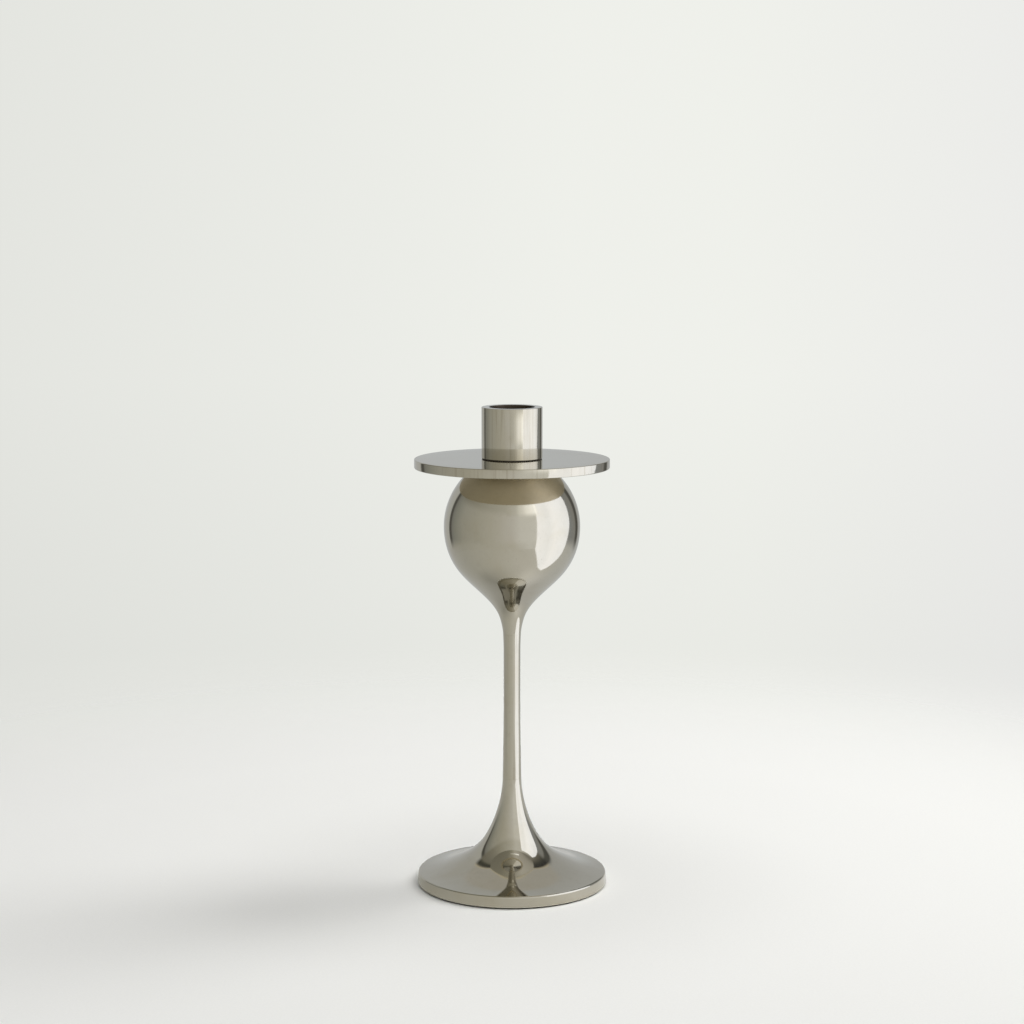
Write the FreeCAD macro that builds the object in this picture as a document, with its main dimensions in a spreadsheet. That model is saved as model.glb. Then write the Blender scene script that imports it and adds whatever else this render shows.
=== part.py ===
import FreeCAD, Part
import math
import os
import re
import Sketcher
from FreeCAD import Vector

# A turned and silver-plated brass candlestick, 240 mm tall.  A cast foot, a tube stem, a hollow bulb
# in two spun halves and a turned cap are drawn together by one tie rod.  The drip disc lies on the
# cap, and the candle cup clamps it there with a threaded stud, so the cup unscrews by hand.
# Every piece is drawn from its own seat (local z = 0) and then placed on the common axis.

os.makedirs("parts", exist_ok=True)
doc = FreeCAD.newDocument("candlestick")

# Driving dimensions in millimetres.
SIZES = {
    "overall_height": 240.0,
    # felt under the foot
    "felt_thickness": 0.5,
    "felt_setback": 0.7,
    # foot: rim, flare and neck
    "foot_diameter": 95.2,
    "foot_height": 53.0,
    "rim_height": 5.6,
    "rim_draft": 0.5,
    "rim_shoulder_drop": 1.0,
    "rim_shoulder_inset": 0.7,
    "rim_edge_break": 0.3,
    "rim_roof": 1.8,
    "flare_low_radius": 22.2,
    "flare_low_height": 14.3,
    "flare_mid_radius": 12.7,
    "flare_mid_height": 24.4,
    "neck_radius": 4.66,
    "neck_collar": 1.7,
    "neck_collar_flare": 0.11,
    "foot_wall": 3.8,
    # iron weight inside the foot
    "ballast_rim_width": 4.6,
    "ballast_ledge_width": 4.0,
    "ballast_hump_radius": 20.0,
    "ballast_hump_height": 9.5,
    "ballast_gap": 0.3,
    "counterbore_radius": 11.0,
    "counterbore_depth": 6.5,
    # stem tube and the two centring bushes
    "stem_waist_radius": 4.17,
    "stem_top_radius": 4.42,
    "stem_top_flare": 10.0,
    "stem_bore_radius": 3.2,
    "bush_length": 15.0,
    "bush_depth": 7.5,
    "bush_bore_radius": 2.1,
    # bulb
    "bulb_radius": 33.7,
    "crown_arc": 36.0,
    "bulb_wall": 1.6,
    "bulb_drop": 54.1,
    "bowl_radius": 20.9,
    "bowl_depth": 28.1,
    "throat_radius": 11.3,
    "throat_depth": 37.4,
    "throat_wall": 2.6,
    "bulb_flat_rise": 29.25,
    "seam_ring_half_height": 3.0,
    "seam_ring_rebate": 0.4,
    "seam_ring_thickness": 1.3,
    # cap that closes the bulb
    "cap_flange": 1.7,
    "cap_spigot_depth": 2.8,
    "cap_spigot_gap": 0.15,
    "cap_barrel_radius": 7.0,
    "cap_barrel_depth": 20.3,
    # drip disc
    "disc_diameter": 96.4,
    "disc_thickness": 4.5,
    "disc_edge_break": 0.45,
    "disc_hole_gap": 0.5,
    # washer and cup
    "seat_washer_thickness": 0.4,
    "seat_washer_setback": 0.3,
    "cup_diameter": 30.0,
    "cup_height": 25.1,
    "cup_floor": 5.2,
    "socket_diameter": 22.5,
    "cup_edge_break": 0.35,
    # screwed stud
    "stud_radius": 4.0,
    "stud_pitch": 1.25,
    "stud_turns": 6,
    "stud_tip_gap": 1.0,
    "stud_head_radius": 6.5,
    "stud_head_height": 2.4,
    "stud_head_sink": 0.2,
    "stud_slot_width": 1.6,
    "stud_slot_depth": 1.2,
    "running_gap": 0.05,
    "fit_gap": 0.02,
    # tie rod and its hardware
    "rod_radius": 2.0,
    "rod_hole_gap": 0.4,
    "rod_grip": 10.5,
    "rod_tip_gap": 0.5,
    "rod_tail": 0.3,
    "nut_width": 7.0,
    "nut_height": 3.2,
    "spring_washer_radius": 3.6,
    "spring_washer_thickness": 1.0,
    "spring_washer_sweep": 345,
    "spreader_radius": 10.0,
    "spreader_thickness": 1.2,
    "washer_hole_gap": 0.2,
}

# Places and radii that follow from the driving dimensions.
PLACES = {
    "foot_radius": "foot_diameter / 2",
    "shoulder_radius": "foot_radius - rim_draft",
    "crease_radius": "shoulder_radius - rim_shoulder_inset",
    "cavity_radius": "foot_radius - ballast_rim_width",
    "ledge_height": "rim_height - rim_roof",
    "rod_hole_radius": "rod_radius + rod_hole_gap",
    "foot_top": "felt_thickness + foot_height",
    "cup_seat": "overall_height - cup_height",
    "washer_seat": "cup_seat - seat_washer_thickness",
    "disc_seat": "washer_seat - disc_thickness",
    "bulb_middle": "disc_seat - bulb_flat_rise",
    "cap_rise": "bulb_flat_rise - cap_flange",
    "cap_seat": "disc_seat - cap_flange",
    "crown_centre": "bulb_radius - crown_arc",
    "crown_inner_arc": "crown_arc - bulb_wall",
    "cap_edge_radius": "crown_centre + sqrt(crown_arc ^ 2 - cap_rise ^ 2)",
    "cap_top_radius": "crown_centre + sqrt(crown_arc ^ 2 - bulb_flat_rise ^ 2)",
    "cap_bore_radius": "crown_centre + sqrt(crown_inner_arc ^ 2 - cap_rise ^ 2)",
    "rebate_radius": "bulb_radius - bulb_wall + seam_ring_rebate",
    "shell_step_radius": "crown_centre + sqrt(crown_inner_arc ^ 2 - seam_ring_half_height ^ 2)",
    "bowl_inset": "bulb_radius - bowl_radius",
    "bowl_arc_radius": "(bowl_inset ^ 2 + bowl_depth ^ 2) / (2 * bowl_inset)",
    "bowl_centre": "bulb_radius - bowl_arc_radius",
    "bowl_inner_arc": "bowl_arc_radius - bulb_wall",
    "bowl_shrink": "bowl_inner_arc / bowl_arc_radius",
    "bowl_inner_radius": "bowl_centre + bowl_shrink * (bowl_radius - bowl_centre)",
    "bowl_inner_depth": "bowl_shrink * bowl_depth",
    "bowl_step_radius": "bowl_centre + sqrt(bowl_inner_arc ^ 2 - seam_ring_half_height ^ 2)",
    "bulb_foot": "bulb_middle - bulb_drop",
    "stem_length": "bulb_foot - foot_top",
    "bush_radius": "stem_bore_radius - fit_gap",
    "stud_reach": "seat_washer_thickness + disc_thickness + stud_turns * stud_pitch",
    "stud_well_depth": "stud_turns * stud_pitch + stud_tip_gap",
    "stud_seat_height": "cup_floor - stud_head_sink - stud_head_height",
    "socket_radius": "socket_diameter / 2",
    "spreader_seat": "felt_thickness + counterbore_depth - spreader_thickness",
    "spring_washer_seat": "spreader_seat - spring_washer_thickness",
    "nut_seat": "spring_washer_seat - nut_height",
    "rod_seat": "nut_seat - rod_tail",
    "rod_well_depth": "rod_grip + rod_tip_gap",
    "rod_top": "cap_seat - cap_barrel_depth + rod_grip",
    "rod_length": "rod_top - rod_seat",
}


FULL_TURN = 360
ON_AXIS = 1e-9
CLOSED_WITHIN = 1e-6
CUBIC_MM_PER_CM3 = 1000


def fill_sheet(name, cells):
    """One row per value: its name in column A, the value or formula in column B under an alias."""
    sheet = doc.addObject("Spreadsheet::Sheet", name)
    for row, (alias, content) in enumerate(cells.items(), start=1):
        sheet.set(f"A{row}", alias)
        sheet.set(f"B{row}", content)
        sheet.setAlias(f"B{row}", alias)
    return sheet


def bound(formula):
    """The formula with each size's name led by the sheet that holds it."""
    def lead(word):
        if word.group(0) in SIZES:
            return "Sizes." + word.group(0)
        if word.group(0) in PLACES:
            return "Places." + word.group(0)
        return word.group(0)
    return re.sub(r"[a-z][a-z_]*", lead, str(formula))


sizes = fill_sheet("Sizes", {alias: str(value) for alias, value in SIZES.items()})
fill_sheet("Places", {alias: "=" + bound(formula) for alias, formula in PLACES.items()})
doc.recompute()


def number(formula):
    return float(sizes.evalExpression(bound(formula)))


def new_piece(label, seat):
    """An empty body placed on the common axis with its seat at the given height."""
    body = doc.addObject("PartDesign::Body", label)
    body.Label = label
    body.setExpression("Placement.Base.z", bound(seat))
    return body


def plane(body, role):
    return next(face for face in body.Origin.OriginFeatures if face.Role == role)


def new_sketch(body, role, name):
    sketch = body.newObject("Sketcher::SketchObject", name)
    sketch.AttachmentSupport = [(plane(body, role), "")]
    sketch.MapMode = "FlatFace"
    return sketch


def pin_point(sketch, curve, end, formulas):
    """Fix one end of a curve at (r, z) by two dimensions bound to the sheets."""
    for kind, axis, formula in zip(("DistanceX", "DistanceY"), (-2, -1), formulas):
        value = number(formula)
        if abs(value) < ON_AXIS:
            sketch.addConstraint(Sketcher.Constraint("PointOnObject", curve, end, axis))
            continue
        index = sketch.addConstraint(Sketcher.Constraint(kind, -1, 1, curve, end, value))
        sketch.setExpression(f"Constraints[{index}]", bound(formula))


def arc_through(start, stop, bend):
    """Arc between two points; bend is its radius, positive when the centre is on the left."""
    chord = stop - start
    reach = chord.Length / 2
    rise = math.sqrt(max(bend * bend - reach * reach, 0.0))
    left = Vector(-chord.y, chord.x, 0).normalize()
    centre = start + chord / 2 + left * math.copysign(rise, bend)
    ends = (start, stop) if bend > 0 else (stop, start)
    angles = [math.atan2(point.y - centre.y, point.x - centre.x) for point in ends]
    if angles[1] <= angles[0]:
        angles[1] += 2 * math.pi
    return Part.ArcOfCircle(Part.Circle(centre, Vector(0, 0, 1), abs(bend)), *angles)


def draw_outline(sketch, start, legs):
    """Closed half section.  Each leg runs to (r, z): "line" is straight, "flow" is an arc tangent to
    the leg before it, and "arc" has a radius of its own, positive when its centre is on the left."""
    here = first = Vector(number(start[0]), number(start[1]), 0)
    heading, before = None, None
    for place, (kind, *formulas) in enumerate(legs):
        stop = Vector(number(formulas[0]), number(formulas[1]), 0)
        step = stop - here
        ends = (1, 2)
        if kind == "line":
            curve = sketch.addGeometry(Part.LineSegment(here, stop), False)
            heading = step.normalize()
        else:
            if kind == "flow":
                bend = step.Length ** 2 / (2 * heading.cross(step).z)
            else:
                bend = number(formulas[2])
            arc = arc_through(here, stop, bend)
            curve = sketch.addGeometry(arc, False)
            ends = (1, 2) if bend > 0 else (2, 1)
            spoke = stop - arc.Center
            heading = Vector(-spoke.y, spoke.x, 0).normalize() * math.copysign(1, bend)
        if before is None:
            pin_point(sketch, curve, ends[0], start)
            opening = (curve, ends[0])
        else:
            joint = "Tangent" if kind == "flow" else "Coincident"
            sketch.addConstraint(Sketcher.Constraint(joint, *before, curve, ends[0]))
        if place < len(legs) - 1:
            pin_point(sketch, curve, ends[1], formulas[:2])
        else:
            assert (stop - first).Length < CLOSED_WITHIN, "the outline must close"
            sketch.addConstraint(Sketcher.Constraint("Coincident", curve, ends[1], *opening))
        if kind == "arc":
            size = sketch.addConstraint(Sketcher.Constraint("Radius", curve, abs(bend)))
            sketch.setExpression(f"Constraints[{size}]", bound(formulas[2].lstrip("-")))
        before = (curve, ends[1])
        here = stop


def turn(body, start, legs, sweep=FULL_TURN):
    """Revolve a half section about the axis."""
    sketch = new_sketch(body, "XZ_Plane", body.Label + "_section")
    draw_outline(sketch, start, legs)
    turned = body.newObject("PartDesign::Revolution", body.Label + "_turned")
    turned.Profile = sketch
    turned.ReferenceAxis = (sketch, ["V_Axis"])
    if sweep == FULL_TURN:
        turned.Angle = sweep
    else:
        turned.setExpression("Angle", bound(sweep))
    doc.recompute()
    return turned


def turn_ring(body, inner, outer, height, sweep=FULL_TURN):
    """A plain ring or disc with square edges, standing on its seat."""
    legs = [("line", outer, "0"), ("line", outer, height), ("line", inner, height), ("line", inner, "0")]
    return turn(body, (inner, "0"), legs, sweep)


# The felt is a plain disc glued under the rim, the weight and the nut.
def felt_pad():
    pad = new_piece("felt_pad", "0")
    turn_ring(pad, "0", "foot_radius - felt_setback", "felt_thickness")


# The foot is one casting: a tapered rim, a trumpet flare and a neck bored for the rod and a bush.
def foot_casting():
    foot = new_piece("foot_casting", "felt_thickness")
    cavity = [
        ("line", "cavity_radius", "ledge_height"),
        ("line", "cavity_radius - ballast_ledge_width", "ledge_height"),
        ("line", "flare_low_radius - foot_wall", "flare_low_height"),
        ("line", "flare_mid_radius - foot_wall", "flare_mid_height"),
        ("line", "rod_hole_radius", "flare_mid_height"),
        ("line", "rod_hole_radius", "foot_height - bush_depth"),
        ("line", "stem_bore_radius", "foot_height - bush_depth"),
        ("line", "stem_bore_radius", "foot_height"),
    ]
    outside = [
        ("line", "neck_radius", "foot_height"),
        ("line", "neck_radius + neck_collar_flare", "foot_height - neck_collar"),
        ("flow", "flare_mid_radius", "flare_mid_height"),
        ("flow", "flare_low_radius", "flare_low_height"),
        ("flow", "crease_radius", "rim_height"),
        ("arc", "shoulder_radius", "rim_height - rim_shoulder_drop", "-rim_shoulder_drop"),
        ("line", "foot_radius", "rim_edge_break"),
        ("line", "foot_radius - rim_edge_break", "0"),
        ("line", "cavity_radius", "0"),
    ]
    turn(foot, ("cavity_radius", "0"), cavity + outside)


# The iron weight bears on the ledge inside the rim; its counterbore takes the nut and washers.
def foot_ballast():
    weight = new_piece("foot_ballast", "felt_thickness")
    legs = [
        ("line", "cavity_radius - ballast_gap", "0"),
        ("line", "cavity_radius - ballast_gap", "ledge_height"),
        ("line", "cavity_radius - ballast_ledge_width - ballast_gap", "ledge_height"),
        ("line", "ballast_hump_radius", "ballast_hump_height"),
        ("line", "rod_hole_radius", "ballast_hump_height"),
        ("line", "rod_hole_radius", "counterbore_depth"),
        ("line", "counterbore_radius", "counterbore_depth"),
        ("line", "counterbore_radius", "0"),
    ]
    turn(weight, ("counterbore_radius", "0"), legs)


# Washers and nut that pull the rod down from below.
def spreader_washer():
    washer = new_piece("spreader_washer", "spreader_seat")
    turn_ring(washer, "rod_radius + washer_hole_gap", "spreader_radius", "spreader_thickness")


def spring_washer():
    washer = new_piece("spring_washer", "spring_washer_seat")
    turn_ring(washer, "rod_radius + washer_hole_gap", "spring_washer_radius",
              "spring_washer_thickness", "spring_washer_sweep")


def tie_rod_nut():
    blank = doc.addObject("Part::Prism", "nut_blank")
    blank.Polygon = 6
    blank.setExpression("Circumradius", bound("nut_width / sqrt(3)"))
    blank.setExpression("Height", bound("nut_height"))
    hole = doc.addObject("Part::Cylinder", "nut_hole")
    hole.setExpression("Radius", bound("rod_radius + fit_gap"))
    hole.setExpression("Height", bound("nut_height"))
    nut = doc.addObject("Part::Cut", "tie_rod_nut")
    nut.Base = blank
    nut.Tool = hole
    nut.Label = "tie_rod_nut"
    nut.setExpression("Placement.Base.z", bound("nut_seat"))


# The rod runs from the nut up to the cap and holds the whole column together.
def tie_rod():
    rod = new_piece("tie_rod", "rod_seat")
    turn_ring(rod, "0", "rod_radius", "rod_length")


# The bushes sit half in the casting and half in the tube, and keep both on the rod's axis.
def foot_neck_bush():
    bush = new_piece("foot_neck_bush", "foot_top - bush_depth")
    turn_ring(bush, "bush_bore_radius", "bush_radius", "bush_length")


def bulb_neck_bush():
    bush = new_piece("bulb_neck_bush", "bulb_foot + bush_depth - bush_length")
    turn_ring(bush, "bush_bore_radius", "bush_radius", "bush_length")


# The stem is a tube drawn in to a slender waist, and it swells again just under the bulb.
def stem_tube():
    stem = new_piece("stem_tube", "foot_top")
    legs = [
        ("line", "neck_radius", "0"),
        ("line", "stem_waist_radius", "stem_length / 2"),
        ("line", "stem_waist_radius", "stem_length - stem_top_flare"),
        ("flow", "stem_top_radius", "stem_length"),
        ("line", "stem_bore_radius", "stem_length"),
        ("line", "stem_bore_radius", "0"),
    ]
    turn(stem, ("stem_bore_radius", "0"), legs)


# Lower half of the bulb: a bowl that narrows through a cone into the throat above the stem.
def bulb_lower_shell():
    shell = new_piece("bulb_lower_shell", "bulb_middle")
    outside = [
        ("arc", "bowl_radius", "-bowl_depth", "-bowl_arc_radius"),
        ("flow", "throat_radius", "-throat_depth"),
        ("flow", "stem_top_radius", "-bulb_drop"),
    ]
    inside = [
        ("line", "stem_bore_radius", "-bulb_drop"),
        ("line", "stem_bore_radius", "bush_depth - bulb_drop"),
        ("line", "rod_hole_radius", "bush_depth - bulb_drop"),
        ("line", "rod_hole_radius", "-throat_depth"),
        ("line", "throat_radius - throat_wall", "-throat_depth"),
        ("line", "bowl_inner_radius", "-bowl_inner_depth"),
        ("arc", "bowl_step_radius", "-seam_ring_half_height", "bowl_inner_arc"),
        ("line", "rebate_radius", "-seam_ring_half_height"),
        ("line", "rebate_radius", "0"),
        ("line", "bulb_radius", "0"),
    ]
    turn(shell, ("bulb_radius", "0"), outside + inside)


# Upper half of the bulb, a little fuller than a sphere, cut level where the cap's flange sits.
def bulb_upper_shell():
    shell = new_piece("bulb_upper_shell", "bulb_middle")
    legs = [
        ("arc", "cap_edge_radius", "cap_rise", "crown_arc"),
        ("line", "cap_bore_radius", "cap_rise"),
        ("arc", "shell_step_radius", "seam_ring_half_height", "-crown_inner_arc"),
        ("line", "rebate_radius", "seam_ring_half_height"),
        ("line", "rebate_radius", "0"),
        ("line", "bulb_radius", "0"),
    ]
    turn(shell, ("bulb_radius", "0"), legs)


# The lap ring lies in a rebate behind the bulb's seam, where the halves are brazed to it.
def bulb_seam_ring():
    ring = new_piece("bulb_seam_ring", "bulb_middle - seam_ring_half_height")
    turn_ring(ring, "rebate_radius - fit_gap - seam_ring_thickness", "rebate_radius - fit_gap",
              "2 * seam_ring_half_height")


# The cap's edge carries on the bulb's round.  The rod screws in from below, the stud from above.
def bulb_top_cap():
    cap = new_piece("bulb_top_cap", "cap_seat")
    legs = [
        ("line", "rod_radius + fit_gap", "rod_well_depth - cap_barrel_depth"),
        ("line", "0", "rod_well_depth - cap_barrel_depth"),
        ("line", "0", "cap_flange - stud_well_depth"),
        ("line", "stud_radius + running_gap", "cap_flange - stud_well_depth"),
        ("line", "stud_radius + running_gap", "cap_flange"),
        ("line", "cap_top_radius", "cap_flange"),
        ("arc", "cap_edge_radius", "0", "-crown_arc"),
        ("line", "cap_bore_radius - cap_spigot_gap", "0"),
        ("line", "cap_bore_radius - cap_spigot_gap", "-cap_spigot_depth"),
        ("line", "cap_barrel_radius", "-cap_spigot_depth"),
        ("line", "cap_barrel_radius", "-cap_barrel_depth"),
        ("line", "rod_radius + fit_gap", "-cap_barrel_depth"),
    ]
    turn(cap, ("rod_radius + fit_gap", "-cap_barrel_depth"), legs)


# The disc catches drips.  It is a flat turned plate with both edges lightly broken.
def drip_disc():
    disc = new_piece("drip_disc", "disc_seat")
    radius = "disc_diameter / 2"
    inset = "disc_diameter / 2 - disc_edge_break"
    hole = "stud_radius + disc_hole_gap"
    legs = [
        ("line", inset, "0"),
        ("line", radius, "disc_edge_break"),
        ("line", radius, "disc_thickness - disc_edge_break"),
        ("line", inset, "disc_thickness"),
        ("line", hole, "disc_thickness"),
        ("line", hole, "0"),
    ]
    turn(disc, (hole, "0"), legs)


def cup_seat_washer():
    washer = new_piece("cup_seat_washer", "washer_seat")
    turn_ring(washer, "stud_radius + disc_hole_gap", "cup_diameter / 2 - seat_washer_setback",
              "seat_washer_thickness")


# The cup is turned from bar: a parallel socket for the candle over a thick floor for the stud.
def candle_cup():
    cup = new_piece("candle_cup", "cup_seat")
    radius = "cup_diameter / 2"
    inset = "cup_diameter / 2 - cup_edge_break"
    legs = [
        ("line", inset, "0"),
        ("line", radius, "cup_edge_break"),
        ("line", radius, "cup_height - cup_edge_break"),
        ("line", inset, "cup_height"),
        ("line", "socket_radius + cup_edge_break", "cup_height"),
        ("line", "socket_radius", "cup_height - cup_edge_break"),
        ("line", "socket_radius", "cup_floor"),
        ("line", "stud_head_radius + running_gap", "cup_floor"),
        ("line", "stud_head_radius + running_gap", "stud_seat_height"),
        ("line", "stud_radius + fit_gap", "stud_seat_height"),
        ("line", "stud_radius + fit_gap", "0"),
    ]
    turn(cup, ("stud_radius + fit_gap", "0"), legs)


# The stud is fixed in the cup.  Its slotted head lies just below the socket's floor.
def cup_stud():
    stud = new_piece("cup_stud", "cup_seat")
    legs = [
        ("line", "stud_radius - stud_pitch / 2", "-stud_reach"),
        ("line", "stud_radius", "stud_pitch / 2 - stud_reach"),
        ("line", "stud_radius", "stud_seat_height"),
        ("line", "stud_head_radius", "stud_seat_height"),
        ("line", "stud_head_radius", "stud_seat_height + stud_head_height"),
        ("line", "0", "stud_seat_height + stud_head_height"),
        ("line", "0", "-stud_reach"),
    ]
    blank = turn(stud, ("0", "-stud_reach"), legs)
    slot = new_sketch(stud, "XY_Plane", "driver_slot")
    slot.setExpression("AttachmentOffset.Base.z", bound("stud_seat_height + stud_head_height"))
    half_length, half_width = number("stud_head_radius"), number("stud_slot_width / 2")
    corners = [Vector(-half_length, -half_width, 0), Vector(half_length, -half_width, 0),
               Vector(half_length, half_width, 0), Vector(-half_length, half_width, 0)]
    for side, corner in enumerate(corners):
        slot.addGeometry(Part.LineSegment(corner, corners[(side + 1) % len(corners)]), False)
    for side in range(len(corners)):
        slot.addConstraint(Sketcher.Constraint("Coincident", side, 2, (side + 1) % len(corners), 1))
        slot.addConstraint(Sketcher.Constraint("Horizontal" if side % 2 == 0 else "Vertical", side))
    slot.addConstraint(Sketcher.Constraint("Symmetric", 0, 1, 2, 1, -1, 1))
    length = slot.addConstraint(Sketcher.Constraint("DistanceX", 0, 1, 0, 2, 2 * half_length))
    slot.setExpression(f"Constraints[{length}]", bound("2 * stud_head_radius"))
    width = slot.addConstraint(Sketcher.Constraint("DistanceY", 1, 1, 1, 2, 2 * half_width))
    slot.setExpression(f"Constraints[{width}]", bound("stud_slot_width"))
    whole = blank.Shape.Volume
    cut = stud.newObject("PartDesign::Pocket", "driver_slot_cut")
    cut.Profile = slot
    cut.setExpression("Length", bound("stud_slot_depth"))
    doc.recompute()
    assert cut.Shape.Volume < whole, "the driver slot must remove metal"


BUILDERS = [
    felt_pad, foot_casting, foot_ballast, spreader_washer, spring_washer, tie_rod_nut, tie_rod,
    foot_neck_bush, stem_tube, bulb_neck_bush, bulb_lower_shell, bulb_seam_ring, bulb_upper_shell,
    bulb_top_cap, drip_disc, cup_seat_washer, candle_cup, cup_stud,
]

for build in BUILDERS:
    build()
doc.recompute()

for item in doc.Objects:
    if {"Invalid", "Error"} & set(item.State):
        raise RuntimeError(f"{item.Name} failed: {item.State}")

for build in BUILDERS:
    piece = doc.getObjectsByLabel(build.__name__)[0]
    if piece.Shape.isNull() or not piece.Shape.isValid() or len(piece.Shape.Solids) != 1:
        raise RuntimeError(f"{piece.Label} has no single valid solid")

for build in BUILDERS:
    piece = doc.getObjectsByLabel(build.__name__)[0]
    piece.Shape.exportStep(f"parts/{piece.Label}.step")
    box = piece.Shape.BoundBox
    print(f"{piece.Label}: z {box.ZMin:.2f} to {box.ZMax:.2f}, radius {box.XMax:.2f},"
          f" volume {piece.Shape.Volume / CUBIC_MM_PER_CM3:.2f} cm3")
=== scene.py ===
import math

import bpy
import numpy as np
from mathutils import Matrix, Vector


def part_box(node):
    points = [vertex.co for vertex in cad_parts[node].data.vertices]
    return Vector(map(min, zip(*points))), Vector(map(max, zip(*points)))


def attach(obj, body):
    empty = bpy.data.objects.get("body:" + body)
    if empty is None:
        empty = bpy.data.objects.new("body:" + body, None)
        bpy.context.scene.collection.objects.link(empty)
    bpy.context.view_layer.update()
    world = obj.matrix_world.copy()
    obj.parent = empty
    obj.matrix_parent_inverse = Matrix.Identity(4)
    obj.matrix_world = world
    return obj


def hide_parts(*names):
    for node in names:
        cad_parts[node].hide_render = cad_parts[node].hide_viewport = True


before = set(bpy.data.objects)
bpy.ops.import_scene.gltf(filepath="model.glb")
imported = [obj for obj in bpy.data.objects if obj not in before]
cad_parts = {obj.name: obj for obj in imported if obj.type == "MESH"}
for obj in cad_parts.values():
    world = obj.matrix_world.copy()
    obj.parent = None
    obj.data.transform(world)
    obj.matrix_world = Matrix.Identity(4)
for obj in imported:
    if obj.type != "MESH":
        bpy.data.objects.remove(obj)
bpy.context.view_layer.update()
scene = bpy.context.scene


# ---- The table and its paper ---------------------------------------------------------------------
# The candlestick stands on matt white paper.  Close to the foot the paper takes real light and
# shadow; further out it thins away into the pale air behind, so there is no horizon.
paper_radius = 0.80
paper_near, paper_far = 0.26, 0.62


def new_shading(name):
    """A material with an empty node tree and its output."""
    made = bpy.data.materials.new(name)
    made.use_nodes = True
    made.node_tree.nodes.clear()
    return made, made.node_tree, made.node_tree.nodes.new("ShaderNodeOutputMaterial")


def add_node(tree, kind, inputs=None, **settings):
    """A node with its settings; an input is a plain value, or another node's output socket."""
    made = tree.nodes.new("ShaderNode" + kind)
    for key, value in settings.items():
        setattr(made, key, value)
    for key, value in (inputs or {}).items():
        if isinstance(value, bpy.types.NodeSocket):
            tree.links.new(value, made.inputs[key])
        else:
            made.inputs[key].default_value = value
    return made


def add_ramp(tree, factor, stops):
    """A colour ramp; each stop is (place, grey) or (place, (red, green, blue))."""
    made = add_node(tree, "ValToRGB", {"Fac": factor})
    for number, (place, tone) in enumerate(stops):
        if number < 2:
            stop = made.color_ramp.elements[number]
            stop.position = place
        else:
            stop = made.color_ramp.elements.new(place)
        stop.color = (*(tone if isinstance(tone, tuple) else (tone,) * 3), 1.0)
    return made.outputs["Color"]


def add_map(tree, value, low, high, start=0.0, stop=1.0, ease="SMOOTHSTEP"):
    """Runs from start to stop while value runs from low to high."""
    limits = {"Value": value, "From Min": low, "From Max": high, "To Min": start, "To Max": stop}
    return add_node(tree, "MapRange", limits, interpolation_type=ease).outputs["Result"]


def add_noise(tree, place, scale, detail, roughness=0.5, distortion=0.0):
    return add_node(tree, "TexNoise", {"Vector": place, "Scale": scale, "Detail": detail,
                                       "Roughness": roughness, "Distortion": distortion}).outputs["Fac"]


def place_in(tree):
    """The point that is being shaded, in metres."""
    return add_node(tree, "TexCoord").outputs["Object"]


def reach_in(tree):
    """That point's distance from the middle of the table."""
    return add_node(tree, "VectorMath", {0: place_in(tree)}, operation="LENGTH").outputs["Value"]


def mesh_from(name, points, faces):
    """An object in the scene, made from its points in metres and its faces."""
    mesh = bpy.data.meshes.new(name)
    mesh.from_pydata(points, [], faces)
    mesh.update()
    made = bpy.data.objects.new(name, mesh)
    scene.collection.objects.link(made)
    return made


def disc_mesh(name, radius, height, sides=96):
    """A flat round sheet."""
    turn = [2 * math.pi * side / sides for side in range(sides)]
    return mesh_from(name, [(radius * math.cos(a), radius * math.sin(a), height) for a in turn],
                     [tuple(range(sides))])


paper = disc_mesh("paper", paper_radius, 0.0)
paper_shade, tree, out = new_shading("paper")
grain = add_noise(tree, place_in(tree), 900.0, 4.0)
matt = add_node(tree, "BsdfDiffuse", {
    "Color": add_ramp(tree, grain, [(0.3, (0.90, 0.90, 0.87)), (0.7, (0.93, 0.93, 0.90))])})
clear = add_node(tree, "BsdfTransparent")
fade = add_map(tree, reach_in(tree), paper_near, paper_far)
faded = add_node(tree, "MixShader", {0: fade, 1: matt.outputs[0], 2: clear.outputs[0]})
tree.links.new(faded.outputs[0], out.inputs["Surface"])
paper.data.materials.append(paper_shade)


# ---- The air behind -----------------------------------------------------------------------------
# A pale backdrop beyond the paper, even but for painted shade at its left edge and a soft band of
# painted shade where the paper ends.  It lights no matt surface: the lamps do that.
backdrop = bpy.data.worlds.new("backdrop")
backdrop.use_nodes = True
scene.world = backdrop
tree = backdrop.node_tree
sight = add_node(tree, "SeparateXYZ", {"Vector": add_node(tree, "TexCoord").outputs["Generated"]})
sweep = add_map(tree, sight.outputs["X"], -0.25, 0.25, ease="LINEAR")
side_tone = add_ramp(tree, sweep, [(0.0, (0.765, 0.773, 0.735)), (0.3, (0.815, 0.825, 0.785)),
                                   (0.55, (0.86, 0.87, 0.825)), (0.7, (0.865, 0.875, 0.83)),
                                   (1.0, (0.83, 0.83, 0.815))])
fall = add_map(tree, sight.outputs["Z"], -0.30, 0.0, ease="LINEAR")
fall_tone = add_ramp(tree, fall, [(0.0, 0.99), (0.27, 0.97), (0.36, 0.945), (0.55, 0.97), (0.75, 1.0)])
backdrop_tone = add_node(tree, "MixRGB", {"Fac": 1.0, "Color1": side_tone, "Color2": fall_tone},
                         blend_type="MULTIPLY").outputs[0]
tree.links.new(backdrop_tone, tree.nodes["Background"].inputs["Color"])
backdrop.cycles_visibility.diffuse = False


# ---- The light tent -------------------------------------------------------------------------------
# Polished metal shows what stands round it, so glowing sheets, seen only in the metal, paint a round
# tent around the candlestick: grey cloth in front and on the left, one tall bright window on the right,
# dark edges and a pale back, all as painted reflections.
tent_radius, tent_height = 0.38, 0.735


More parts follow.
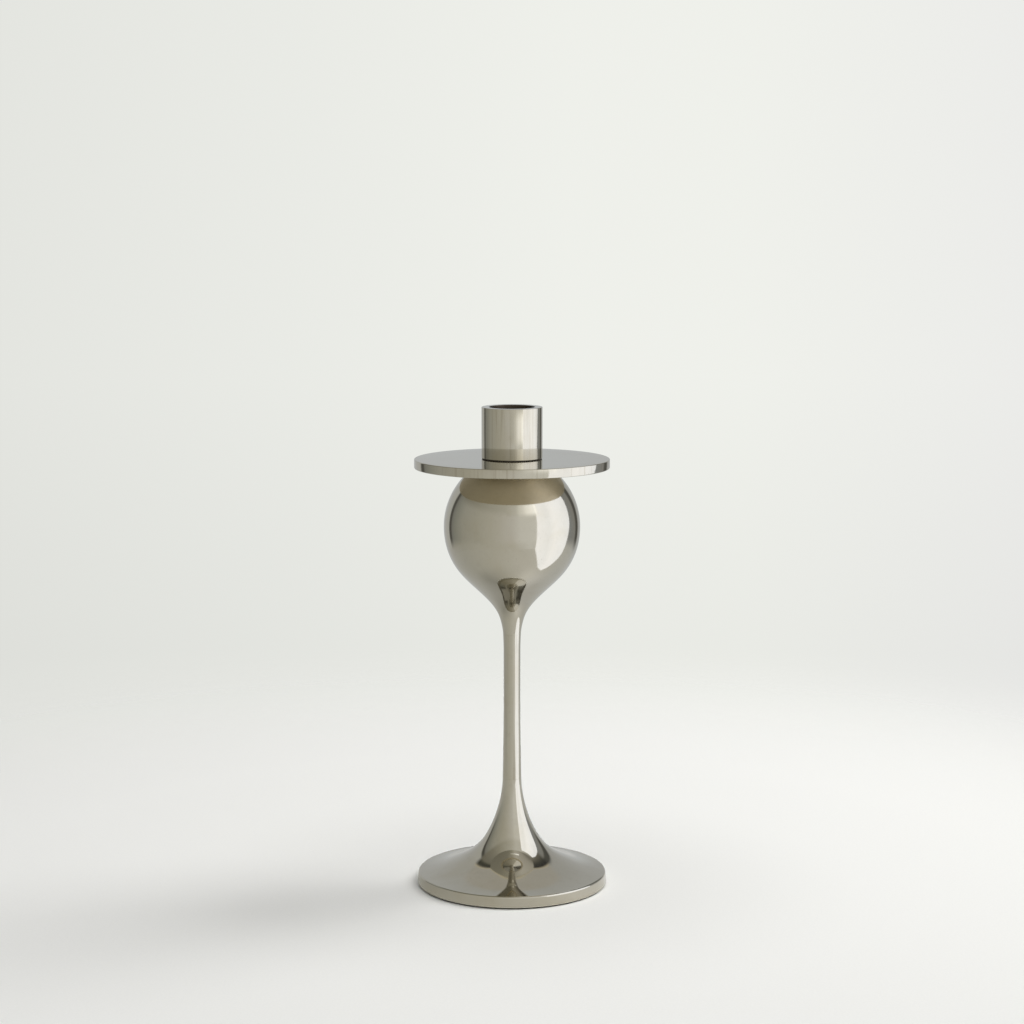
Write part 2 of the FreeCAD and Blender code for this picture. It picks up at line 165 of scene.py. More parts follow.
def tent_part(made, tint):
    """A glowing sheet that the metal shows and the camera looks through."""
    shade, tree, out = new_shading(made.name)
    tree.links.new(add_node(tree, "Emission", {"Color": tint(tree)}).outputs[0], out.inputs["Surface"])
    made.data.materials.append(shade)
    made.visible_camera = False
    made.visible_shadow = False
    made.visible_diffuse = False
    return made


def at_bearing(bearing, radius, height):
    """A point of the tent; bearings are in degrees from the front, positive to the right."""
    angle = math.radians(bearing)
    return (radius * math.sin(angle), -radius * math.cos(angle), height)


def ring_sheet(name, near, far, sides=144):
    """A sheet between two rings, each given as (radius, height)."""
    bearings = [360 * side / sides for side in range(sides)]
    points = [at_bearing(bearing, *ring) for ring in (near, far) for bearing in bearings]
    faces = [(i, (i + 1) % sides, sides + (i + 1) % sides, sides + i) for i in range(sides)]
    return mesh_from(name, points, faces)


def along(tree, axis):
    """The shaded point's X, Y or Z alone."""
    return add_node(tree, "SeparateXYZ", {"Vector": place_in(tree)}).outputs[axis]


def times(tree, first, second):
    return add_node(tree, "Math", {0: first, 1: second}, operation="MULTIPLY").outputs[0]


def blended(tree, factor, first, second):
    return add_node(tree, "MixRGB", {"Fac": factor, "Color1": first, "Color2": second}).outputs[0]


def by_bearing(tree, stops):
    """A tint that changes with the bearing alone."""
    front = times(tree, along(tree, "Y"), -1.0)
    spun = add_node(tree, "CombineXYZ", {"X": front, "Y": along(tree, "X")}).outputs[0]
    turn = add_node(tree, "TexGradient", {"Vector": spun}, gradient_type="RADIAL").outputs["Fac"]
    return add_ramp(tree, turn, [(bearing / 360 + 0.5, tone) for bearing, tone in stops])


# The wall's glow at three heights: painted reflections of cloth lit from the right.
wall_glow_foot = [(-180, (0.56, 0.58, 0.59)), (-140, (0.58, 0.58, 0.57)), (-95, (0.54, 0.54, 0.50)),
              (-50, (0.62, 0.61, 0.55)), (-9, (0.70, 0.69, 0.63)), (7, (0.76, 0.75, 0.70)),
              (30, (0.90, 0.90, 0.87)), (60, (0.84, 0.83, 0.79)), (112, (0.70, 0.71, 0.70)),
              (180, (0.56, 0.58, 0.59))]
wall_glow_middle = [(-180, (0.55, 0.57, 0.58)), (-150, (0.56, 0.57, 0.57)), (-129, (0.62, 0.63, 0.62)),
                (-126, (0.12, 0.12, 0.11)), (-121, (0.12, 0.12, 0.11)), (-117, (0.29, 0.295, 0.28)),
                (-108, (0.36, 0.37, 0.34)), (-90, (0.48, 0.48, 0.44)), (-60, (0.56, 0.55, 0.49)),
                (-35, (0.64, 0.63, 0.57)), (0, (0.78, 0.77, 0.74)), (14, (0.90, 0.90, 0.87)),
                (36, (0.94, 0.94, 0.91)), (46, (1.02, 1.02, 1.0)), (100, (0.46, 0.47, 0.50)),
                (110, (0.36, 0.38, 0.40)), (128, (0.34, 0.34, 0.33)), (132, (0.13, 0.13, 0.12)),
                (140, (0.11, 0.11, 0.10)), (144, (0.52, 0.53, 0.53)), (162, (0.54, 0.55, 0.55)),
                (180, (0.55, 0.57, 0.58))]
wall_glow_top = [(-180, (0.54, 0.53, 0.50)), (-143, (0.54, 0.53, 0.50)), (-141.5, (0.72, 0.65, 0.50)),
             (-140, (0.20, 0.19, 0.16)), (-137, (0.07, 0.07, 0.06)), (-132, (0.10, 0.10, 0.08)),
             (-126, (0.25, 0.24, 0.20)), (-90, (0.34, 0.33, 0.28)), (-60, (0.46, 0.45, 0.39)),
             (-20, (0.60, 0.59, 0.53)), (0, (0.68, 0.67, 0.61)), (20, (0.80, 0.79, 0.74)),
             (50, (0.80, 0.79, 0.74)), (90, (0.46, 0.45, 0.41)), (115, (0.22, 0.21, 0.18)),
             (130, (0.09, 0.09, 0.08)), (138, (0.05, 0.05, 0.05)), (140, (0.14, 0.13, 0.11)),
             (141.5, (0.72, 0.65, 0.50)), (143, (0.54, 0.53, 0.50)), (180, (0.54, 0.53, 0.50))]


foot_stop, middle_start, middle_stop, top_start = 0.03, 0.10, 0.32, 0.42


def wall_tint(tree):
    height = along(tree, "Z")
    lower = blended(tree, add_map(tree, height, foot_stop, middle_start), by_bearing(tree, wall_glow_foot),
                    by_bearing(tree, wall_glow_middle))
    return blended(tree, add_map(tree, height, middle_stop, top_start), lower, by_bearing(tree, wall_glow_top))


roof_join, roof_seam = (0.288, 0.300), (0.296, 0.312)


def roof_tint(tree):
    """The roof's painted reflection: dim over the front; a warm seam and a paler strip at the back."""
    across = add_map(tree, along(tree, "X"), -tent_radius, tent_radius, ease="LINEAR")
    front = add_ramp(tree, across, [(0.0, (0.24, 0.23, 0.19)), (0.35, (0.30, 0.29, 0.24)),
                                    (0.5, (0.42, 0.40, 0.33)), (0.62, (0.62, 0.60, 0.54)),
                                    (0.85, (0.50, 0.48, 0.43)), (1.0, (0.24, 0.23, 0.20))])
    back = add_ramp(tree, add_map(tree, along(tree, "Y"), *roof_seam, ease="LINEAR"),
                    [(0.0, (0.30, 0.29, 0.24)), (0.4, (0.74, 0.67, 0.50)), (0.6, (0.72, 0.66, 0.50)),
                     (1.0, (0.55, 0.54, 0.51))])
    return blended(tree, add_map(tree, along(tree, "Y"), *roof_join), front, back)


# A glowing ring just over the paper paints its reflection in the metal, with painted shadow on the left.
floor_reflection_close = [(-180, (0.60, 0.60, 0.58)), (-95, (0.42, 0.42, 0.39)), (-30, (0.60, 0.59, 0.54)),
               (10, (0.72, 0.71, 0.66)), (50, (0.92, 0.91, 0.87)), (90, (0.86, 0.86, 0.85)),
               (130, (0.66, 0.66, 0.65)), (180, (0.60, 0.60, 0.58))]
floor_reflection_wide = [(-180, (0.60, 0.61, 0.61)), (-95, (0.56, 0.56, 0.52)), (-30, (0.66, 0.65, 0.59)),
              (10, (0.76, 0.75, 0.70)), (60, (0.82, 0.81, 0.77)), (110, (0.72, 0.73, 0.72)),
              (180, (0.60, 0.61, 0.61))]
close_r, wide_r = 0.06, 0.16


def floor_reflection_tint(tree):
    return blended(tree, add_map(tree, reach_in(tree), close_r, wide_r), by_bearing(tree, floor_reflection_close),
                   by_bearing(tree, floor_reflection_wide))


floor_hole_r, floor_level = 0.049, 0.0006
tent_part(ring_sheet("tent_wall_glow", (tent_radius, 0.0), (tent_radius, tent_height)), wall_tint)
tent_part(disc_mesh("tent_roof", tent_radius, tent_height), roof_tint)
tent_part(ring_sheet("floor_reflection_sheet", (floor_hole_r, floor_level), (tent_radius, floor_level)), floor_reflection_tint)


# ---- The window of the tent ----------------------------------------------------------------------
# A tall glowing sheet on the right, seen only in the metal, paints the reflection of a bright window,
# widest at its middle and drawn in towards the top.  Its painted pool of light, a glowing patch just
# over the floor, lies in front of it as a curve.
window_r = tent_radius - 0.01
window_steps = 24
sill = 0.002
window_left = [(40, sill), (40.5, 0.08), (40.5, 0.18), (42, 0.32), (46, 0.50), (52, 0.62)]
window_right = [(105, 0.62), (111, 0.50), (112.5, 0.36), (109, 0.18), (104, 0.08), (102, sill)]
painted_light_pool = [(99, 0.30), (92, 0.215), (84, 0.160), (74, 0.130), (64, 0.137), (58, 0.150),
                (50, 0.199), (44.5, 0.27)]


def window_tint(tree):
    return by_bearing(tree, [(40, (1.66, 1.68, 1.78)), (62, (1.56, 1.60, 1.72)), (74, (1.70, 1.73, 1.86)),
                             (96, (1.62, 1.67, 1.82)), (120, (1.40, 1.46, 1.62))])


def bearing_row(start, stop, steps, radius, height):
    """A level row of points from one bearing to another."""
    return [at_bearing(start + (stop - start) * step / steps, radius, height) for step in range(steps + 1)]


def row_faces(rows, per_row):
    """The faces between rows of points that follow one another."""
    return [(i, i + 1, i + per_row + 1, i + per_row)
            for i in range((rows - 1) * per_row) if i % per_row < per_row - 1]


pane = []
for (left, height), (right, _) in zip(window_left, reversed(window_right)):
    pane += bearing_row(left, right, window_steps, window_r, height)
tent_part(mesh_from("tent_window", pane, row_faces(len(window_left), window_steps + 1)), window_tint)
# The painted pool of light: a glowing patch just over the floor, seen only in the metal.
spill = [at_bearing(bearing, reach, sill) for bearing, reach in painted_light_pool]
spill += bearing_row(window_left[0][0], window_right[-1][0], window_steps, window_r, sill)
tent_part(mesh_from("painted_light_pool", spill, [tuple(range(len(spill)))]), window_tint)


# ---- The near card -------------------------------------------------------------------------------
# A small glowing card, seen only in the metal, hangs close to the disc, level with the cup, and grows
# brighter to the right.  It paints the cup's broad light band as a reflection.  Its upper and lower
# edges are feathered, so they draw no line.
card_r, card_low, card_high = 0.083, 0.206, 0.246
card_start, card_stop, card_steps = -8, 40, 16
feather_low, feather_high = 0.013, 0.012


def card_glow(tree):
    return by_bearing(tree, [(-8, (0.66, 0.65, 0.59)), (6, (0.80, 0.79, 0.74)), (11, (1.02, 1.02, 0.97)),
                             (16, (1.14, 1.13, 1.10)), (22, (1.42, 1.42, 1.40)), (29, (1.60, 1.60, 1.60)),
                             (34, (1.66, 1.68, 1.70)), (36, (2.0, 2.0, 2.0)), (38, (1.66, 1.68, 1.74)),
                             (40, (1.60, 1.62, 1.70))])


card_points = [point for height in (card_low, card_high)
               for point in bearing_row(card_start, card_stop, card_steps, card_r, height)]
card = tent_part(mesh_from("near_card", card_points, row_faces(2, card_steps + 1)), card_glow)
tree = card.active_material.node_tree
height = along(tree, "Z")
edges = times(tree, add_map(tree, height, card_low, card_low + feather_low),
              add_map(tree, height, card_high - feather_high, card_high, 1.0, 0.0))
soft = add_node(tree, "MixShader", {0: edges, 1: add_node(tree, "BsdfTransparent").outputs[0],
                                    2: tree.nodes["Emission"].outputs[0]})
tree.links.new(soft.outputs[0], tree.nodes["Material Output"].inputs["Surface"])


# ---- The lamps -----------------------------------------------------------------------------------
# Two soft lamps light the paper: a tall one beyond the window, which throws the long pale shadow to
# the left, and a round one overhead.
def soft_lamp(name, width, height, power, place, aim):
    """A soft lamp for matt surfaces only; the metal shows the tent instead."""
    lamp = bpy.data.lights.new(name, "AREA")
    lamp.shape, lamp.size, lamp.size_y, lamp.energy = "ELLIPSE", width, height, power
    made = bpy.data.objects.new(name, lamp)
    made.location = place
    made.rotation_euler = (Vector(aim) - Vector(place)).to_track_quat("-Z", "Y").to_euler()
    made.visible_glossy = False
    scene.collection.objects.link(made)


soft_lamp("window_light", width=1.0, height=1.85, power=29.0, place=(1.30, 0.55, 1.69), aim=(0.0, 0.0, 0.02))
soft_lamp("roof_light", width=2.4, height=2.4, power=32.0, place=(0.0, 0.0, 2.2), aim=(0.0, 0.0, 0.0))


# ---- The camera ----------------------------------------------------------------------------------
# It stands a little over a metre in front with a long lens, higher than the candlestick, and looks
# slightly down.
tilt = 0.1348
camera_data = bpy.data.cameras.new("camera")
camera_data.sensor_width, camera_data.lens = 36.0, 80.67
camera_data.clip_start, camera_data.clip_end = 0.05, 50.0
camera = bpy.data.objects.new("camera", camera_data)
camera.location = (0.0, -1.1231, 0.3402)
camera.rotation_euler = (math.pi / 2 - tilt, 0.0, 0.0)
scene.collection.objects.link(camera)
scene.camera = camera
scene.view_settings.view_transform = "Standard"
scene.view_settings.look = "None"


# ---- Felt under the foot ---------------------------------------------------------------------------
# A disc of dark pressed felt, glued under the foot's rim.  Its cut edge shows as a thin dark line,
# and its fibres stand a little proud of one another.
MM = 0.001
TURN_SIDES = 240


def faired(points, lead_in=None, lead_out=None, pitch=0.35):
    """A smooth curve through (r, z) points; a lead is the curve's direction at that end."""
    points = np.array(points, float)
    gaps = np.hypot(*np.diff(points, axis=0).T)
    count = len(points)
    system, right = np.zeros((count, count)), np.zeros((count, 2))
    for row in range(1, count - 1):
        before, after = gaps[row - 1], gaps[row]
        system[row, row - 1:row + 2] = 1 / before, 2 / before + 2 / after, 1 / after
        right[row] = 3 * ((points[row] - points[row - 1]) / before ** 2
                          + (points[row + 1] - points[row]) / after ** 2)
    for row, near, gap, lead in ((0, 1, gaps[0], lead_in), (count - 1, count - 2, gaps[-1], lead_out)):
        system[row, row] = 1.0
        if lead is None:
            system[row, row], system[row, near] = 2.0, 1.0
            first, last = min(row, near), max(row, near)
            right[row] = 3 * (points[last] - points[first]) / gap
        else:
            right[row] = np.array(lead, float) / np.hypot(*lead)
    slopes = np.linalg.solve(system, right)
    line = [tuple(points[0])]
    for leg in range(count - 1):
        steps = max(2, int(math.ceil(gaps[leg] / pitch)))
        for step in range(1, steps + 1):
            t, h = step / steps, gaps[leg]
            line.append(tuple((2 * t ** 3 - 3 * t ** 2 + 1) * points[leg]
                              + (t ** 3 - 2 * t ** 2 + t) * h * slopes[leg]
                              + (3 * t ** 2 - 2 * t ** 3) * points[leg + 1]
                              + (t ** 3 - t ** 2) * h * slopes[leg + 1]))
    return line


def swung(centre, radius, start, stop, steps):
    """Points on an arc in the half section; angles in degrees from the +r direction."""
    angles = np.radians(np.linspace(start, stop, steps + 1))
    return [(centre[0] + radius * math.cos(a), centre[1] + radius * math.sin(a)) for a in angles]


BLUNT_CORNER, CREASE_ANGLE = math.radians(155), math.radians(35)
ON_AXIS = 1e-6


def softened(outline, size, steps=3):
    """Every sharp corner of a closed outline taken off by a small round of about that size."""
    done = []
    count = len(outline)
    for index, corner in enumerate(np.array(outline, float)):
        before = np.array(outline[index - 1], float)
        after = np.array(outline[(index + 1) % count], float)
        back, on = before - corner, after - corner
        reach_back, reach_on = np.hypot(*back), np.hypot(*on)
        bend = math.acos(max(-1.0, min(1.0, float(np.dot(back, on) / (reach_back * reach_on)))))
        if corner[0] < ON_AXIS or bend > BLUNT_CORNER:
            done.append(tuple(corner))
            continue
        cut = min(size, 0.4 * reach_back, 0.4 * reach_on)
        start, stop = corner + back / reach_back * cut, corner + on / reach_on * cut
        for step in range(steps + 1):
            t = step / steps
            done.append(tuple((1 - t) ** 2 * start + 2 * t * (1 - t) * corner + t ** 2 * stop))
    return done


def turned(name, outline, sides=TURN_SIDES):
    """A closed solid of revolution from a closed outline of (r, z) points in millimetres."""
    points, rings = [], []
    for r, z in outline:
        if r < ON_AXIS:
            rings.append([len(points)])
            points.append((0.0, 0.0, z * MM))
        else:
            rings.append(list(range(len(points), len(points) + sides)))
            turns = [2 * math.pi * side / sides for side in range(sides)]
            points += [(r * MM * math.cos(turn), r * MM * math.sin(turn), z * MM) for turn in turns]
    faces = []
    for low, high in zip(rings, rings[1:] + rings[:1]):
        if len(low) == 1 and len(high) == 1:
            continue
        for s in range(sides):
            n = (s + 1) % sides
            corners = [low[s % len(low)], low[n % len(low)], high[n % len(high)], high[s % len(high)]]
            faces.append(tuple(dict.fromkeys(corners)))
    made = mesh_from(name, points, faces)
    made.data.polygons.foreach_set("use_smooth", [True] * len(made.data.polygons))
    made.data.set_sharp_from_angle(angle=CREASE_ANGLE)
    return made


def level(node):
    """Lowest and highest z of a CAD node, in millimetres."""
    low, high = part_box(node)
    return low.z / MM, high.z / MM


def radius_of(node):
    """Outer radius of a turned CAD node, in millimetres."""
    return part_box(node)[1].x / MM


felt_low, felt_high = level("felt_pad")
felt_r = radius_of("felt_pad")
felt_outline = [(0, felt_low), (felt_r, felt_low), (felt_r, felt_high), (0, felt_high)]
felt = turned("felt_disc", softened(felt_outline, 0.15))
felt_shade, tree, out = new_shading("dark_felt")
fibres = add_noise(tree, place_in(tree), 2600.0, 8.0, 0.7)
tufts = add_noise(tree, place_in(tree), 420.0, 3.0)
fibre_tint = add_ramp(tree, fibres, [(0.3, (0.018, 0.018, 0.016)), (0.7, (0.075, 0.072, 0.065))])
tuft_tint = add_ramp(tree, tufts, [(0.35, (0.03, 0.03, 0.027)), (0.7, (0.06, 0.057, 0.05))])
felt_bump = add_node(tree, "Bump", {"Height": fibres, "Strength": 0.8, "Distance": 0.0002})
felt_body = add_node(tree, "BsdfPrincipled", {
    "Base Color": blended(tree, 0.4, fibre_tint, tuft_tint), "Roughness": 0.95, "Sheen Weight": 0.3,
    "Normal": felt_bump.outputs[0]})
tree.links.new(felt_body.outputs[0], out.inputs["Surface"])
felt.data.materials.append(felt_shade)
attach(felt, "stand")
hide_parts("felt_pad")


# ---- The cast foot ---------------------------------------------------------------------------------
# One brass casting, turned outside, polished and silver plated: an upright rim, a trumpet flare and a
# slim neck.  The plate is warm, a little dulled, and finely marked by years of polishing.
silver = (0.50, 0.475, 0.405)


def shifted(tint, red, green, blue):
    """The tint with each of its three colours made stronger or weaker."""
    return (tint[0] * red, tint[1] * green, tint[2] * blue)


def stretched(tree, place, upright):
    """The place with its height squeezed or drawn out, for grain that runs one way."""
    return add_node(tree, "VectorMath", {0: place, 1: (1.0, 1.0, upright)}, operation="MULTIPLY").outputs[0]


def plate_finish(name, tint=silver, sheen=0.07, lines=0.08, streaks=0.0):
    """Silver plate: soft dull clouds, fine lathe lines, a few dark specks, and upright wiping streaks."""
    made, tree, out = new_shading(name)
    place = place_in(tree)
    clouds = add_noise(tree, place, 46.0, 5.0, 0.55, 0.6)
    bloom = add_noise(tree, place, 210.0, 6.0, 0.6)
    specks = add_node(tree, "TexVoronoi", {"Vector": place, "Scale": 330.0}).outputs["Distance"]
    spots = times(tree, add_map(tree, specks, 0.03, 0.09, 1.0, 0.0), add_map(tree, clouds, 0.52, 0.62))
    body = add_ramp(tree, clouds, [(0.30, shifted(tint, 0.96, 0.945, 0.91)), (0.50, tint),
                                   (0.72, shifted(tint, 1.02, 1.025, 1.04))])
    worn = blended(tree, add_map(tree, bloom, 0.50, 0.75, 0.0, 0.16), body,
                   (*shifted(tint, 0.74, 0.74, 0.74), 1.0))
    worn = blended(tree, times(tree, spots, 0.45), worn, (0.10, 0.085, 0.06, 1.0))
    if streaks:
        wiped = add_noise(tree, stretched(tree, place, 0.03), 620.0, 3.0)
        worn = blended(tree, add_map(tree, wiped, 0.50, 0.72, 0.0, streaks), worn,
                       (*shifted(tint, 0.55, 0.50, 0.42), 1.0))
    rough = add_node(tree, "Math", {0: add_map(tree, clouds, 0.30, 0.70, sheen * 0.895, sheen * 1.15),
                                    1: add_map(tree, bloom, 0.35, 0.75, 0.0, 0.018)}, operation="ADD")
    hair = add_noise(tree, stretched(tree, place, 60.0), 60.0, 3.0, 0.6)
    bump = add_node(tree, "Bump", {"Height": hair, "Strength": lines, "Distance": 0.00001})
    bump = add_node(tree, "Bump", {"Height": bloom, "Strength": 0.10, "Distance": 0.000012,
                                   "Normal": bump.outputs[0]})
    metal = add_node(tree, "BsdfPrincipled", {"Base Color": worn, "Metallic": 1.0,
                                              "Roughness": rough.outputs[0], "Normal": bump.outputs[0]})
    tree.links.new(metal.outputs[0], out.inputs["Surface"])
    return made


foot_low, foot_high = level("foot_casting")
foot_r = radius_of("foot_casting")
crease_r, shoulder_r, neck_r = 46.4, 47.1, 4.66
rim_height = 5.6
rim_top = foot_low + rim_height
edge_break = 0.02
bore_r, rod_hole_r, bush_depth = 3.2, 2.4, 7.5
cavity_r, ledge_r, ledge = 43.0, 39.0, foot_low + 3.8
flare = faired([(crease_r, rim_top), (35.0, 8.6), (30.0, 10.7), (22.2, 14.8), (16.3, 19.8), (11.55, 27.0),
                (7.59, 36.65), (5.31, 46.3), (neck_r, foot_high - edge_break)],
               lead_in=(-1.0, 0.114), lead_out=(-0.02, 1.0))
rim = ([(foot_r - 0.45, foot_low)] + swung((foot_r - 0.35, foot_low + 0.35), 0.35, -70, 0, 4)
       + [(foot_r - 0.2, foot_low + 2.2), (shoulder_r + 0.03, rim_top - 1.15)]
       + swung((shoulder_r - 0.98, rim_top - 1.0), 1.0, 4, 62, 6)
       + [(crease_r + 0.05, rim_top - 0.05)])
hollow = [(bore_r, foot_high), (bore_r, foot_high - bush_depth), (rod_hole_r, foot_high - bush_depth),
          (rod_hole_r, foot_low + 24.4), (8.9, foot_low + 24.4), (18.4, foot_low + 14.3), (ledge_r, ledge),
          (cavity_r, ledge), (cavity_r, foot_low)]
foot = turned("cast_foot", rim + flare + [(neck_r - edge_break, foot_high)] + hollow)
foot.data.materials.append(plate_finish("foot_plate", sheen=0.055))
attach(foot, "stand")
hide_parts("foot_casting")


# ---- Inside the foot ---------------------------------------------------------------------------------
# An iron weight fills the rim, and a washer, a split spring washer and a nut pull the tie rod down
# against it.  Short brass bushes centre the tube on foot and bulb, and a ring backs the bulb's seam.
def raw_finish(name, dark, light, metallic, roughness, scale, bump_height):
    """A bare metal with grain in its colour and surface."""
    made, tree, out = new_shading(name)
    grain = add_noise(tree, place_in(tree), scale, 6.0)
    bump = add_node(tree, "Bump", {"Height": grain, "Strength": 0.6, "Distance": bump_height})
    metal = add_node(tree, "BsdfPrincipled", {
        "Base Color": add_ramp(tree, grain, [(0.35, dark), (0.65, light)]), "Metallic": metallic,
        "Roughness": add_map(tree, grain, 0.3, 0.7, roughness - 0.08, roughness + 0.08),
        "Normal": bump.outputs[0]})
    tree.links.new(metal.outputs[0], out.inputs["Surface"])
    return made


brass = raw_finish("bare_brass", (0.66, 0.50, 0.24), (0.80, 0.64, 0.34), 1.0, 0.34, 700.0, 0.00002)
zinc = raw_finish("zinc_steel", (0.50, 0.51, 0.52), (0.66, 0.67, 0.68), 1.0, 0.36, 900.0, 0.00002)
iron = raw_finish("cast_iron", (0.035, 0.033, 0.03), (0.09, 0.085, 0.08), 0.6, 0.75, 500.0, 0.0002)
kept_nodes = {"foot_ballast": iron, "spreader_washer": zinc, "spring_washer": zinc, "tie_rod_nut": zinc,
              "tie_rod": zinc, "foot_neck_bush": brass, "bulb_neck_bush": brass, "bulb_seam_ring": brass}
for node, finish in kept_nodes.items():
    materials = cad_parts[node].data.materials
    materials.clear()
    materials.append(finish)


# ---- The stem ----------------------------------------------------------------------------------------
# A slim brass tube, drawn in a little to its waist and opened again under the bulb.  It is plated
# like the foot, and was always wiped up and down, so its streaks run upright.
stem_low, stem_high = level("stem_tube")
stem_top_r = 4.42
stem_line = faired([(neck_r, stem_low + edge_break), (4.60, 55.9), (4.50, 63.1), (4.35, 72.8), (4.21, 82.4),
                    (4.17, 92.0), (4.16, 104.0), (4.17, 114.0), (4.22, 121.5),
                    (stem_top_r, stem_high - edge_break)], pitch=0.8)
stem = turned("drawn_stem", [(neck_r - edge_break, stem_low)] + stem_line
              + [(stem_top_r - edge_break, stem_high), (bore_r, stem_high), (bore_r, stem_low)])
stem.data.materials.append(plate_finish("stem_plate", streaks=0.20))
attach(stem, "stand")
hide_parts("stem_tube")


# ---- The bulb ------------------------------------------------------------------------------------------
# Two halves spun from sheet and brazed at the waist over a hidden ring.  The joint is filed and
# polished until it hardly shows.  The lower half narrows through a cone into a throat above the stem.
middle = level("bulb_upper_shell")[0]
bulb_r = radius_of("bulb_upper_shell")
cap_level = level("bulb_upper_shell")[1]
lower_low = level("bulb_lower_shell")[0]
wall, bowl_floor = 1.6, 42.1
bowl = faired([(bulb_r, middle)] + [(r, middle - drop) for r, drop in (
    (31.83, 12.0), (26.8, 21.6), (20.0, 28.9), (12.5, 36.1), (7.1, 43.3), (4.86, 50.5))]
              + [(stem_top_r, lower_low + edge_break)], lead_in=(0.0, -1.0), lead_out=(-0.03, -1.0))
bowl_inside = faired([(r, middle - drop) for r, drop in (
    (bore_r + 0.4, bowl_floor), (8.7, 37.3), (18.8, 27.5), (25.4, 20.5), (30.2, 11.3), (32.0, 0.0))],
                     lead_out=(0.0, 1.0), pitch=1.2)
throat_low = lower_low + bush_depth
lower = turned("bulb_lower", bowl + [(stem_top_r - edge_break, lower_low), (bore_r, lower_low),
                                     (bore_r, throat_low), (rod_hole_r, throat_low),
                                     (rod_hole_r, middle - bowl_floor)] + bowl_inside)
lower.data.materials.append(plate_finish("bulb_plate"))
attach(lower, "stand")
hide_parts("bulb_lower_shell")

crown_r = 36.0
crown_centre = (bulb_r - crown_r, middle)
cap_angle = math.degrees(math.asin((cap_level - middle) / crown_r))
inner_angle = math.degrees(math.asin((cap_level - middle) / (crown_r - wall)))
upper = turned("bulb_upper", swung(crown_centre, crown_r, 0, cap_angle, 70)
               + swung(crown_centre, crown_r - wall, inner_angle, 0, 24))
upper.data.materials.append(lower.data.materials[0])
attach(upper, "stand")
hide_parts("bulb_upper_shell")


# ---- The cap under the disc --------------------------------------------------------------------------
# A turned brass plug that closes the bulb.  The tie rod screws into it from below and the cup's stud
# from above, and its edge is turned to carry on the bulb's round.
cap_low, cap_top = level("bulb_top_cap")
edge_start, edge_stop = (math.degrees(math.asin((z - middle) / crown_r)) for z in (cap_level, cap_top))
barrel_r, spigot_r, spigot_low = 7.0, 13.8, cap_level - 2.8
rod_well_r, rod_well_top = 2.02, cap_low + 11.0
stud_well_r, stud_well_low = 4.05, cap_top - 8.5
cap_outline = ([(rod_well_r, cap_low), (barrel_r, cap_low), (barrel_r, spigot_low), (spigot_r, spigot_low),
                (spigot_r, cap_level)]
               + swung(crown_centre, crown_r, edge_start, edge_stop, 5)
               + [(stud_well_r, cap_top), (stud_well_r, stud_well_low), (0, stud_well_low),
                  (0, rod_well_top), (rod_well_r, rod_well_top)])
cap = turned("bulb_cap", cap_outline, sides=192)
cap.data.materials.append(brass)
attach(cap, "stand")
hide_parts("bulb_top_cap")


# ---- The drip disc -----------------------------------------------------------------------------------
# A flat disc turned from plate, both edges lightly broken, plated and held between cap and cup.  Its
# underside is left duller and warmer than its face, and its rim shows upright wiping streaks.
disc_low, disc_high = level("drip_disc")
disc_r = radius_of("drip_disc")
disc_hole_r, disc_edge_r, disc_flat_r = 4.5, 0.45, disc_r - 0.5
disc_face = [(r, disc_high) for r in (40.0, 30.0, 20.0, 10.0)]
disc_under = [(r, disc_low) for r in (10.0, 20.0, 30.0, 40.0)]
disc_edge = ([(disc_flat_r, disc_low)]
             + swung((disc_r - disc_edge_r, disc_low + disc_edge_r), disc_edge_r, -80, 0, 5)
             + swung((disc_r - disc_edge_r, disc_high - disc_edge_r), disc_edge_r, 0, 80, 5)
             + [(disc_flat_r, disc_high)])
disc = turned("drip_disc_plate", disc_under + disc_edge + disc_face
              + [(disc_hole_r, disc_high), (disc_hole_r, disc_low)], sides=320)
disc.data.materials.append(plate_finish("disc_plate"))
disc.data.materials.append(plate_finish("disc_underside", (0.57, 0.505, 0.38), sheen=0.42, lines=0.3))
disc.data.materials.append(plate_finish("disc_rim", streaks=0.30))
UNDERSIDE, RIM = 1, 2
for face in disc.data.polygons:
    if face.center.z < (disc_low + 0.05) * MM:
        face.material_index = UNDERSIDE
    elif face.center.xy.length > (disc_r - 0.4) * MM:
        face.material_index = RIM
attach(disc, "stand")
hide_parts("drip_disc")
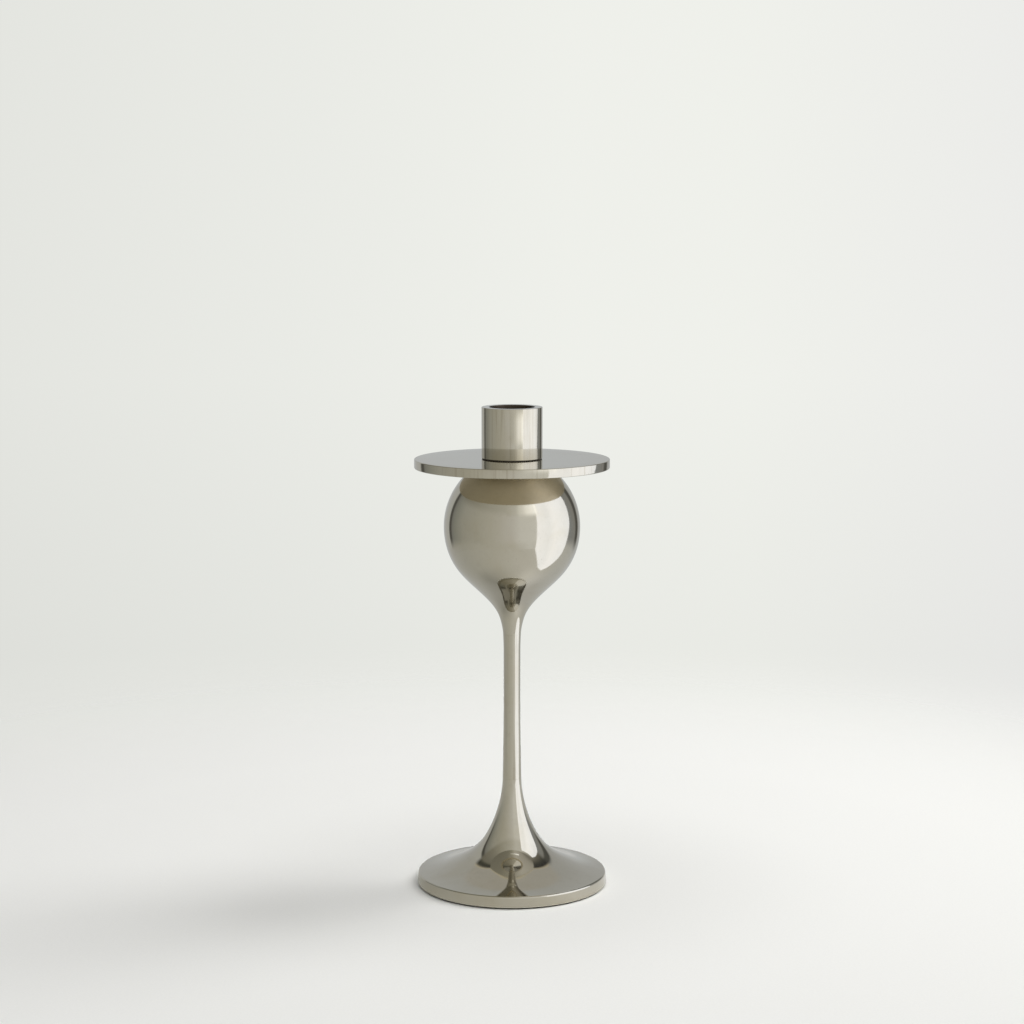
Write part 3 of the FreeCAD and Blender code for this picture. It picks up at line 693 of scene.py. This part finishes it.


# ---- The fibre washer ----------------------------------------------------------------------------------
# A thin ring of black vulcanised fibre, a little smaller than the cup.  It keeps the cup from marking
# the disc, and its black also paints the shade in the gap under the cup as a thin dark line.
washer_low, washer_high = level("cup_seat_washer")
washer_r = radius_of("cup_seat_washer")
washer_hole_r = 4.5
washer_outline = [(washer_hole_r, washer_low), (washer_r, washer_low), (washer_r, washer_high),
                  (washer_hole_r, washer_high)]
washer = turned("fibre_washer", softened(washer_outline, 0.12), sides=160)
# Black fibre, whose colour also paints the shade of the gap under the cup.
washer.data.materials.append(raw_finish("black_fibre_and_gap_shade", (0.055, 0.047, 0.036), (0.12, 0.10, 0.075), 0.0, 0.6,
                                        1500.0, 0.00005))
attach(washer, "cup_riser")
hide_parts("cup_seat_washer")


# ---- The candle cup -------------------------------------------------------------------------------------
# Turned from bar: a plain cylinder with a parallel socket for the candle, over a thick floor that
# holds the stud.  The outside is plated; the socket is dull, and painted near black as its shade.
cup_low, cup_top = level("candle_cup")
cup_r = radius_of("candle_cup")
socket_r = 11.25
stud_hole_r, head_room_r = 4.02, 6.55
head_sink, head_height = 0.2, 2.4
floor_z = level("cup_stud")[1] + head_sink
head_low = floor_z - head_sink - head_height
cup_outline = softened([(stud_hole_r, cup_low), (cup_r, cup_low), (cup_r, cup_top), (socket_r, cup_top),
                        (socket_r, floor_z), (head_room_r, floor_z), (head_room_r, head_low),
                        (stud_hole_r, head_low)], 0.22, steps=4)
cup = turned("candle_cup_turned", cup_outline, sides=256)
cup.data.materials.append(plate_finish("cup_plate", streaks=0.35))
# The socket's near-black colour is painted shade.
cup.data.materials.append(plate_finish("socket_painted_shade", (0.075, 0.06, 0.045), sheen=0.28, lines=0.2))
SOCKET = 1
for face in cup.data.polygons:
    if face.center.xy.length < (socket_r + 0.1) * MM and face.center.z > (floor_z - 0.1) * MM:
        face.material_index = SOCKET
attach(cup, "cup")
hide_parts("candle_cup")


# ---- The stud -------------------------------------------------------------------------------------------
# A zinc-plated screw with a plain cheese head, fixed in the cup's floor and screwed into the cap.
# Its tip is chamfered to find the thread.
stud_low, stud_top = level("cup_stud")
stud_r, stud_tip_r, stud_head_r, stud_chamfer = 4.0, 3.4, 6.5, 0.6
stud_outline = [(0, stud_low), (stud_tip_r, stud_low), (stud_r, stud_low + stud_chamfer),
                (stud_r, head_low), (stud_head_r, head_low), (stud_head_r, stud_top), (0, stud_top)]
stud = turned("cup_screw", softened(stud_outline, 0.2), sides=128)
stud.data.materials.append(zinc)
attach(stud, "cup")
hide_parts("cup_stud")
